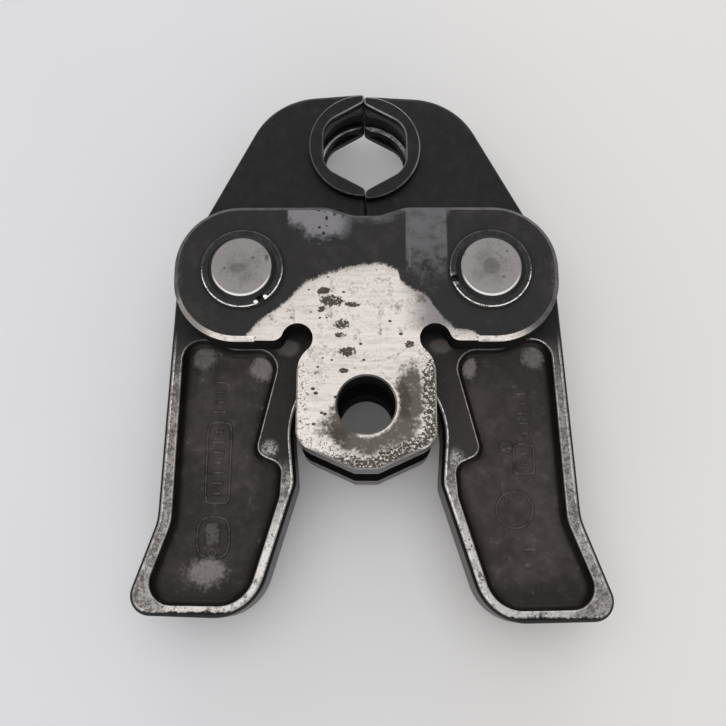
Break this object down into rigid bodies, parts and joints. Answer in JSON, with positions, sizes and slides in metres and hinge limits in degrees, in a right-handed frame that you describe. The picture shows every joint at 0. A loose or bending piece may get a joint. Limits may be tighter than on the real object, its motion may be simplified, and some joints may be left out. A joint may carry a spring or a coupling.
{
  "type": "press fitting tool jaw",
  "caption": "Pivoting steel press jaw: two forged levers on pins between plates close a split hexagonal die over a tube fitting.",
  "frame": {"origin": "axis of the retaining bolt's bore, at mid thickness", "axes": "+X to the right lever, +Y from the bore towards the die, +Z out of the front plate"},
  "size_m": [0.1168, 0.1418, 0.0352],
  "materials": {
    "plate_steel": "dark oxide, worn bright",
    "pin_steel": "ground, satin",
    "ring_steel": "dark oxide",
    "spring_steel": "plain wire",
    "forged_steel": "dark oxide, edges worn bright"
  },
  "bodies": {
    "frame": {"front_plate": "plate_steel", "back_plate": "plate_steel", "left_pin": "pin_steel", "right_pin": "pin_steel", "left_front_snap_ring": "ring_steel", "left_back_snap_ring": "ring_steel", "right_front_snap_ring": "ring_steel", "right_back_snap_ring": "ring_steel", "closing_spring": "spring_steel"},
    "left_lever": {"left_lever": "forged_steel"},
    "right_lever": {"right_lever": "forged_steel"}
  },
  "joints": [
    {"name": "left_lever_pivot", "type": "hinge", "parent": "frame", "child": "left_lever", "pos_m": [-0.0314, 0.0349, 0], "axis": [0, 0, 1], "range_deg": [0, 16], "stiffness_Nm_per_rad": 1.2, "springref_deg": -22.92, "deforming": ["closing_spring"]},
    {"name": "right_lever_pivot", "type": "hinge", "parent": "frame", "child": "right_lever", "pos_m": [0.0314, 0.0349, 0], "axis": [0, 0, -1], "range_deg": [0, 16], "stiffness_Nm_per_rad": 1.2, "springref_deg": -22.92, "deforming": ["closing_spring"]}
  ]
}
